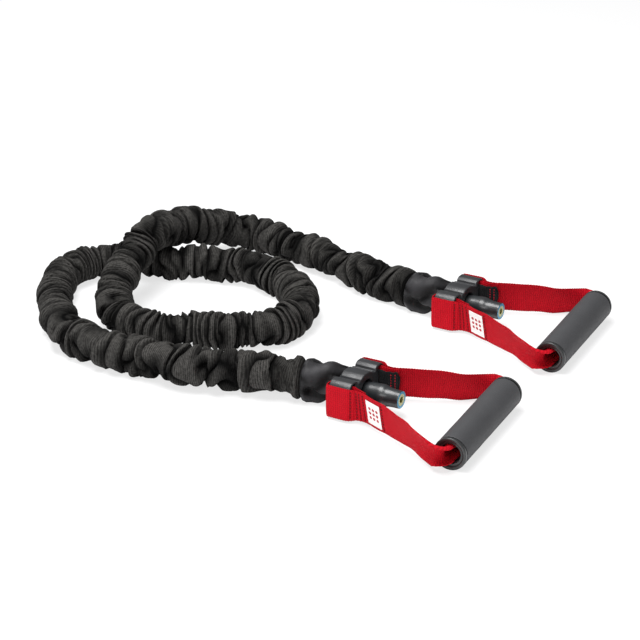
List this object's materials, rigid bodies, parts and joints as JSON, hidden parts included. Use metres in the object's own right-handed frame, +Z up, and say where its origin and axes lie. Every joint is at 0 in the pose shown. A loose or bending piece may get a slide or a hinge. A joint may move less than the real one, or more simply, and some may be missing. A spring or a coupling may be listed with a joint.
{
  "type": "resistance tube",
  "caption": "Rubber exercise tube in a gathered fabric sleeve, laid in a loose loop, with a webbing strap and foam grip on each end.",
  "frame": {"origin": "on the floor, at the middle of the box round the two handles with their blocks and cuffs, the free tube left out", "axes": "+X the way both tube ends point, from connector block to grip; +Y across, from the right handle to the left one; +Z up"},
  "size_m": [0.5484, 0.379, 0.0691],
  "materials": {
    "sleeve_fabric": "matt black woven sleeve, gathered",
    "cuff_satin": "black satin-faced fabric",
    "rubber": "smooth dark latex skin",
    "plug_plastic": "moulded",
    "block_plastic": "satin dark grey moulding",
    "red_webbing": "red woven webbing",
    "black_webbing": "black woven tape",
    "label_cloth": "white woven label",
    "core_plastic": "satin black moulding",
    "grip_foam": "fine closed-cell foam"
  },
  "bodies": {
    "tube": {"sleeve_coil": "sleeve_fabric", "tube_coil": "rubber", "sleeve_right": "sleeve_fabric", "tube_right": "rubber", "sleeve_left": "sleeve_fabric", "tube_left": "rubber"},
    "right_end": {"right_tube_end": "rubber", "right_tube_plug": "plug_plastic", "right_cuff": "cuff_satin"},
    "right_clip": {"right_block": "block_plastic", "right_tail_1": "black_webbing", "right_tail_2": "black_webbing", "right_label": "label_cloth"},
    "right_handle": {"right_strap": "red_webbing"},
    "right_grip": {"right_grip_core": "core_plastic", "right_grip_foam": "grip_foam", "right_end_collar_1": "core_plastic", "right_end_collar_2": "core_plastic"},
    "left_end": {"left_tube_end": "rubber", "left_tube_plug": "plug_plastic", "left_cuff": "cuff_satin"},
    "left_clip": {"left_block": "block_plastic", "left_tail_1": "black_webbing", "left_tail_2": "black_webbing", "left_label": "label_cloth"},
    "left_handle": {"left_strap": "red_webbing"},
    "left_grip": {"left_grip_core": "core_plastic", "left_grip_foam": "grip_foam", "left_end_collar_1": "core_plastic", "left_end_collar_2": "core_plastic"}
  },
  "joints": [
    {"name": "right_pull", "type": "slide", "parent": "tube", "child": "right_end", "axis": [1, 0, 0], "range_m": [0, 0.15], "stiffness_N_per_m": 600, "deforming": ["sleeve_right", "tube_right"]},
    {"name": "right_swivel", "type": "hinge", "parent": "right_end", "child": "right_clip", "pos_m": [-0.02875, -0.11025, 0.018], "axis": [1, 0, 0], "range_deg": [-90, 90], "deforming": ["right_cuff"]},
    {"name": "right_swing", "type": "hinge", "parent": "right_clip", "child": "right_handle", "pos_m": [-0.01875, -0.11025, 0.018], "axis": [0, 0, 1], "range_deg": [-15, 15], "deforming": ["right_strap"]},
    {"name": "right_grip_spin", "type": "hinge", "parent": "right_handle", "child": "right_grip", "pos_m": [0.08345, -0.11025, 0.015], "axis": [-0.0958, 0.9954, 0], "continuous": true},
    {"name": "left_pull", "type": "slide", "parent": "tube", "child": "left_end", "axis": [1, 0, 0], "range_m": [0, 0.15], "stiffness_N_per_m": 600, "deforming": ["sleeve_left", "tube_left"]},
    {"name": "left_swivel", "type": "hinge", "parent": "left_end", "child": "left_clip", "pos_m": [-0.04005, 0.11225, 0.018], "axis": [1, 0, 0], "range_deg": [-90, 90], "deforming": ["left_cuff"]},
    {"name": "left_swing", "type": "hinge", "parent": "left_clip", "child": "left_handle", "pos_m": [-0.03005, 0.11225, 0.018], "axis": [0, 0, 1], "range_deg": [-15, 15], "deforming": ["left_strap"]},
    {"name": "left_grip_spin", "type": "hinge", "parent": "left_handle", "child": "left_grip", "pos_m": [0.07215, 0.11225, 0.015], "axis": [-0.0958, 0.9954, 0], "continuous": true}
  ]
}
